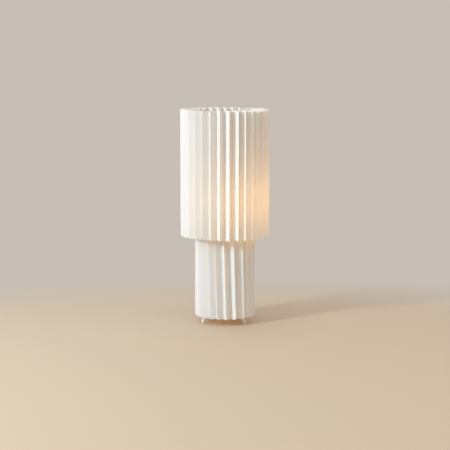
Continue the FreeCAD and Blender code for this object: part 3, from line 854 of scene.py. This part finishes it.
@dataclass
class WireFrame:
    """The enamelled wire: rings, feet, uprights, spokes and arms, with a weld where two wires meet."""

    rings: tuple[str, ...] = (
        "base_ring", "neck_ring", "fitter_ring", "shade_top_ring", "shade_bottom_ring", "carrier_ring")
    per_leg: tuple[str, ...] = ("hairpin_foot", "neck_spoke", "upright", "carrier_arm")
    legs: tuple[int, ...] = (1, 2, 3)
    bead_radius: float = 2.0 * MM
    bead_cut: float = 0.6
    spoke_inset: float = 0.8 * MM
    fitter_inset: float = 1.0 * MM

    def build(self, finishes: Finishes) -> None:
        """Dresses the wires and adds their welds.

        Args:
            finishes: The lamp's finishes.
        """
        dress(self.rings, finishes[Slot.WIRE])
        dress([f"{kind}_{leg}" for kind in self.per_leg for leg in self.legs], finishes[Slot.WIRE])
        bead = self._bead()
        stand = joined("stand_welds", [copied(bead, self._at(*spot)) for spot in self._stand_welds()])
        present(stand, finishes[Slot.WIRE], Body.STAND, Slot.WIRE)
        shade = joined("shade_welds", [copied(bead, self._at(*spot)) for spot in self._shade_welds()])
        present(shade, finishes[Slot.WIRE], Body.SHADE, Slot.WIRE)
        bpy.data.objects.remove(bead)

    def _bead(self) -> bpy.types.Object:
        """One flattened drop of weld at the origin, longer along X than it is high."""
        let_go()
        bpy.ops.mesh.primitive_ico_sphere_add(subdivisions=3, radius=self.bead_radius)
        bead = named("weld_bead")
        with editing(bead):
            bpy.ops.mesh.select_all(action="SELECT")
            grow((1.35, 1.0, 0.8))
            cut = self.bead_cut * self.bead_radius
            pick(bead, lambda co: co.z > cut)
            grow((1.2, 1.1, 0.9), Vector((0, 0, cut)))
        shade_smooth(bead)
        return bead

    @staticmethod
    def _at(angle: float, radius: float, level: float) -> Matrix:
        """The place of a weld, by its angle in radians, its radius and its level."""
        return Matrix.Rotation(angle, 4, "Z") @ Matrix.Translation((radius, 0, level))

    def _stand_welds(self) -> Iterator[tuple[float, float, float]]:
        """Where the stand's wires are welded: feet, uprights and spokes to the rings."""
        base, neck, fitter = (Extent.of(ring) for ring in ("base_ring", "neck_ring", "fitter_ring"))
        for leg in self.legs:
            kinds = ("upright", "neck_spoke", "hairpin_foot")
            upright, spoke, foot = (Extent.of(f"{kind}_{leg}") for kind in kinds)
            post = Vector((upright.low.x + upright.high.x, upright.low.y + upright.high.y)).length / 2
            yield upright.turn, post, upright.low.z
            yield upright.turn, post, upright.high.z
            yield foot.turn, base.inner, base.middle
            yield spoke.turn, neck.inner + self.spoke_inset, neck.low.z
            yield spoke.turn, fitter.outer - self.fitter_inset, fitter.low.z

    def _shade_welds(self) -> Iterator[tuple[float, float, float]]:
        """Where the shade's wires are welded: arms to the carrier ring and to the shade's lower ring."""
        carrier, lower = Extent.of("carrier_ring"), Extent.of("shade_bottom_ring")
        for leg in self.legs:
            arm = Extent.of(f"carrier_arm_{leg}")
            yield arm.turn, (carrier.inner + carrier.outer) / 2, carrier.high.z
            yield arm.turn, (lower.inner + lower.outer) / 2, lower.high.z


# ---------------------------------------------------------------- lampholder and bulb


def screw_thread(
    name: str,
    radius: float,
    low: float,
    turns: int,
    inward: float,
    wall: float,
) -> bpy.types.Object:
    """Rolls a round thread in thin sheet metal.

    Args:
        name: The new piece's name.
        radius: The thread's crest radius.
        low: The level at which it starts.
        turns: How many turns it has.
        inward: How deep it is rolled.
        wall: The sheet's thickness, inside the crest.

    Returns:
        The closed threaded tube.
    """
    profile = []
    for step in range(THREAD_STEPS + 1):
        share = step / THREAD_STEPS
        inset = inward * (0.5 - 0.5 * math.cos(math.tau * share))
        profile.append((radius - inset, low + THREAD_PITCH * share))
    sleeve = trace(name, profile)
    apply_modifier(sleeve, "SCREW", screw_offset=THREAD_PITCH, iterations=turns, steps=ROUND_STEPS,
                   render_steps=ROUND_STEPS, axis="Z")
    with editing(sleeve):
        bpy.ops.mesh.select_all(action="SELECT")
        bpy.ops.mesh.remove_doubles(threshold=0.02 * MM)
        bpy.ops.mesh.normals_make_consistent(inside=False)
    apply_modifier(sleeve, "SOLIDIFY", thickness=wall, offset=-1.0)
    shade_smooth(sleeve, 60.0)
    return sleeve


@dataclass
class Lampholder:
    """The screw lampholder under the shade, with its ring nut, core, contacts and cord entry."""

    plastic: tuple[str, ...] = ("lampholder_shell", "lampholder_cap", "shade_ring_nut")
    grip: tuple[str, ...] = ("cord_gland",)
    core: tuple[str, ...] = ("insulator_core",)
    brass: tuple[str, ...] = ("centre_contact", "terminal_block_1", "terminal_block_2")
    zinc: tuple[str, ...] = ("terminal_screws", "entry_nipple", "lock_nut", "grip_screw")
    thread_depth: float = 0.9 * MM
    sheet: float = 0.3 * MM

    def build(self, finishes: Finishes) -> None:
        """Dresses the lampholder's pieces, and rolls the thread of its screw shell."""
        dress(self.plastic, finishes[Slot.HOLDER])
        dress(self.grip, finishes[Slot.GRIP])
        dress(self.core, finishes[Slot.CORE])
        dress(self.brass, finishes[Slot.BRASS])
        dress(self.zinc, finishes[Slot.ZINC])
        self._screw_shell(finishes)

    def _screw_shell(self, finishes: Finishes) -> None:
        """Rolls the screw shell's thread, in step with the thread of the cap that it takes."""
        shell, cap = Extent.of("screw_shell"), Extent.of("bulb_cap")
        start = cap.low.z + CAP_THREAD_START * cap.height
        below = math.floor((start - shell.low.z) / THREAD_PITCH)
        low = start - below * THREAD_PITCH
        turns = math.floor((shell.high.z - low) / THREAD_PITCH) - 1
        thread = screw_thread("threaded_shell", shell.outer, low, turns, self.thread_depth, self.sheet)
        present(thread, finishes[Slot.BRASS], Body.STAND, Slot.BRASS, ("screw_shell",))


@dataclass
class Bulb:
    """The lit globe bulb that screws into the holder, and the light that it gives."""

    thread_turns: int = 4
    thread_depth: float = 0.9 * MM
    sheet: float = 0.3 * MM
    foot_edge: float = 0.75
    foot_rise: float = 0.06
    root: float = 0.93
    collar_foot: float = 0.97
    collar_top: float = 0.985
    spill_level: float = 0.35
    glow: Colour = (1.0, 0.60, 0.28)
    off_axis: float = 0.15
    power: float = 0.34
    spill_power: float = 0.03

    def build(self, finishes: Finishes) -> None:
        """Dresses the bulb, threads its cap and lights it."""
        dress(("bulb_glass",), finishes[Slot.GLOBE])
        dress(("lamp_stem",), finishes[Slot.CLEAR])
        dress(("cap_insulator",), finishes[Slot.BLACK])
        dress(("bulb_contact", "support_wires"), finishes[Slot.CAP])
        self._cap(finishes)
        dress(("filament_strips",), finishes[Slot.FILAMENT])
        self._light()

    def _cap(self, finishes: Finishes) -> None:
        """Makes the cap: its threaded sleeve, its dished foot below and its plain collar above."""
        cap = Extent.of("bulb_cap")
        low = cap.low.z + CAP_THREAD_START * cap.height
        sleeve = screw_thread("cap_sleeve", cap.outer, low, self.thread_turns, self.thread_depth, self.sheet)
        top = low + (self.thread_turns + 1) * THREAD_PITCH
        neck, root = Extent.of("cap_insulator").outer, self.root * cap.outer
        edge = (self.foot_edge * cap.outer, cap.low.z + self.foot_rise * cap.height)
        foot = trace("cap_foot", [(neck, cap.low.z), edge, (root, low), (root, low + THREAD_PITCH / 2)])
        rim = (self.collar_top * cap.outer, cap.high.z)
        collar = trace("cap_collar", [(root, top - THREAD_PITCH), (self.collar_foot * cap.outer, top), rim])
        for part in (foot, collar):
            revolve(part, ROUND_STEPS)
            apply_modifier(part, "SOLIDIFY", thickness=self.sheet, offset=-1.0)
            shade_smooth(part, 50.0)
        whole = joined("threaded_cap", [sleeve, foot, collar])
        present(whole, finishes[Slot.CAP], Body.BULB, Slot.CAP, ("bulb_cap",))

    def _light(self) -> None:
        """Puts the bulb's light in the globe, lets it out, and spills some down the sleeve."""
        globe, cord_way = Extent.of("bulb_glass"), Extent.of("cord_gland")
        centre = Vector((self.off_axis * globe.outer, 0, globe.high.z - globe.outer))
        self._glow("bulb_light", centre, globe.outer / 2, self.power)
        below = Vector((0, 0, self.spill_level * cord_way.low.z))
        self._glow("sleeve_spill", below, globe.outer / 2, self.spill_power)
        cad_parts["bulb_glass"].visible_shadow = False

    def _glow(self, name: str, centre: Vector, radius: float, power: float) -> None:
        """Adds one warm ball of light that moves with the bulb.

        Args:
            name: The light's name.
            centre: Its place.
            radius: The ball's radius.
            power: Its power in watts.
        """
        light = bpy.data.lights.new(name, "POINT")
        light.energy = power
        light.color = self.glow
        light.shadow_soft_size = radius
        lamp = bpy.data.objects.new(name, light)
        bpy.context.scene.collection.objects.link(lamp)
        lamp.location = centre
        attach(lamp, Body.BULB.value)
        log.info("%s: %.2f W", name, power)


# ---------------------------------------------------------------- studio


@dataclass
class Studio:
    """A plain pale floor, a soft key light low on the left, a weak fill, and the camera."""

    camera_distance: float = 2.566
    camera_height: float = 0.5694
    camera_pitch: float = 7.98
    camera_lens: float = 96.71
    floor_radius: float = 60.0
    floor_tone: Colour = (0.55, 0.435, 0.315)
    grain_tone: Colour = (0.52, 0.43, 0.33)
    grain_share: float = 0.3
    grain_base: float = 0.12
    backdrop: Colour = (0.571, 0.515, 0.468)
    floor_middle: tuple[float, float, float] = (0.0, -0.9, 0.0)
    floor_reach: float = 1.10
    fade: float = 0.34
    aim_level: float = 0.25
    key_turn: float = -53.0
    key_rise: float = 21.0
    lamp_distance: float = 2.2
    key_size: float = 0.34
    key_power: float = 29.5
    key_tone: Colour = (0.86, 0.96, 1.0)
    fill_turn: float = 62.0
    fill_rise: float = 20.0
    fill_size: float = 1.6
    fill_power: float = 6.0
    fill_tone: Colour = (1.0, 0.66, 0.38)
    cool: Colour = (0.93, 0.97, 1.0)
    warm: Colour = (1.0, 0.80, 0.58)
    room_strength: float = 1.07
    dim_strength: float = 0.50
    side_share: float = 0.7
    sky_share: float = 0.7

    def build(self) -> None:
        """Builds the floor, the lights, the surroundings and the camera."""
        self._floor()
        self._lamp("key_light", self.key_turn, self.key_rise, self.key_size, self.key_power, self.key_tone)
        self._lamp("fill_light", self.fill_turn, self.fill_rise, self.fill_size, self.fill_power,
                   self.fill_tone)
        self._room()
        self._camera()

    def _floor(self) -> None:
        """Lays a wide round floor that turns from pale wood round the lamp to the backdrop's tone."""
        let_go()
        bpy.ops.mesh.primitive_circle_add(vertices=96, radius=self.floor_radius, fill_type="NGON")
        floor = named("studio_floor")
        paint = Paint("floor")
        at = paint.place()
        grain = paint.noise(paint.stretched(at, (0.25, 3.0, 1.0)), 40.0, 4.0)
        away = paint.vector("LENGTH", paint.vector("SUBTRACT", at, self.floor_middle), output="Value")
        streak = (grain - 0.5) * self.grain_share + self.grain_base
        tone = paint.blend(streak, self.floor_tone, self.grain_tone)
        pale = paint.coat(Base_Color=tone, Roughness=0.7)
        far = paint.node("ShaderNodeEmission", {}, {"Color": self.backdrop})
        share = ((away - self.floor_reach) / self.fade).clipped() * self._seen(paint)
        surface = paint.node("ShaderNodeMixShader", {}, {0: share, 1: pale, 2: far})
        floor.data.materials.append(paint.done(surface))

    @staticmethod
    def _seen(paint: Paint) -> Signal:
        """1 where a surface is seen directly, in gloss or through glass, and 0 where it lights the object."""
        path = paint.node("ShaderNodeLightPath", output="Is Camera Ray")
        return (path + path.also("Is Glossy Ray") + path.also("Is Transmission Ray")).clipped()

    def _lamp(
        self,
        name: str,
        angle: float,
        rise: float,
        size: float,
        power: float,
        tone: Colour,
    ) -> None:
        """Hangs one square lamp that faces the middle of the object.

        Args:
            name: The lamp's name.
            angle: Its angle round the object from the camera's side, in degrees to the right.
            rise: How high it stands, in degrees.
            size: The side of its square.
            power: Its power in watts.
            tone: Its colour.
        """
        aim = Vector((0, 0, self.aim_level))
        sideways, up = math.radians(angle), math.radians(rise)
        way = Vector((math.sin(sideways) * math.cos(up), -math.cos(sideways) * math.cos(up), math.sin(up)))
        light = bpy.data.lights.new(name, "AREA")
        light.size = size
        light.energy = power
        light.color = tone
        lamp = bpy.data.objects.new(name, light)
        lamp.location = aim + way * self.lamp_distance
        lamp.rotation_euler = way.to_track_quat("Z", "Y").to_euler()
        bpy.context.scene.collection.objects.link(lamp)

    def _room(self) -> None:
        """Fills the surroundings with a pale light: cool on the left, weaker and warmer on the right."""
        paint = Paint("studio_room", world=True)
        cool = paint.node("ShaderNodeBackground", {}, {"Color": self.cool, "Strength": self.room_strength})
        warm = paint.node("ShaderNodeBackground", {}, {"Color": self.warm, "Strength": self.dim_strength})
        across = paint.node("ShaderNodeSeparateXYZ", {}, {"Vector": paint.place()}, "X")
        share = (across * self.side_share - across.also("Z") * self.sky_share + 0.5).clipped()
        light = paint.node("ShaderNodeMixShader", {}, {0: share, 1: cool, 2: warm})
        wall = paint.node("ShaderNodeBackground", {}, {"Color": self.backdrop, "Strength": 1.0})
        seen = self._seen(paint)
        room = paint.node("ShaderNodeMixShader", {}, {0: seen, 1: light, 2: wall})
        bpy.context.scene.world = paint.done(room)

    def _camera(self) -> None:
        """Sets the camera where the photograph was taken from."""
        view = bpy.data.cameras.new("camera")
        view.lens = self.camera_lens
        camera = bpy.data.objects.new("camera", view)
        camera.location = (0, -self.camera_distance, self.camera_height)
        camera.rotation_euler = (math.radians(90 - self.camera_pitch), 0, 0)
        bpy.context.scene.collection.objects.link(camera)
        bpy.context.scene.camera = camera
        bpy.context.scene.view_settings.view_transform = "Standard"


# ---------------------------------------------------------------- the lamp


def main() -> None:
    """Builds the lamp's sub-assemblies in order, and then the studio round them."""
    logging.basicConfig(level=logging.INFO, format="%(name)s %(message)s")
    finishes = Finishes()
    shade = PleatedPaper("pleated_shade", "shade_paper", Body.SHADE, pleats=32, first_ridge=-97.0,
                         fold_depth=15.2 * MM,
                         unevenness={-5: -1.85, -4: -0.5, -3: -0.35, -2: -0.3, -1: -0.15, 0: 0.5,
                                     1: 1.1, 2: 1.8, 3: 0.45, 4: 0.0, 5: -0.45, 6: -1.8})
    sleeve = PleatedPaper("pleated_sleeve", "sleeve_paper", Body.STAND, pleats=23, first_ridge=-88.0,
                          fold_depth=12.0 * MM,
                          unevenness={-4: 0.5, -3: -2.1, -2: -2.3, -1: -3.45, 0: -2.1,
                                      1: 0.95, 2: 4.1, 3: 2.5, 4: 1.9},
                          painted_glow_side=-5.0, rows=8,
                          # Painted light on the sleeve: a warm emission band at its top, standing in for
                          # light spilled down from under the shade.
                          glow={"bulb_level": 0.192, "reach": 0.014, "glow_strength": 0.3})
    shade.build()
    sleeve.build()
    WireFrame().build(finishes)
    Lampholder().build(finishes)
    Bulb().build(finishes)
    Studio().build()


if __name__ == "__main__":
    main()
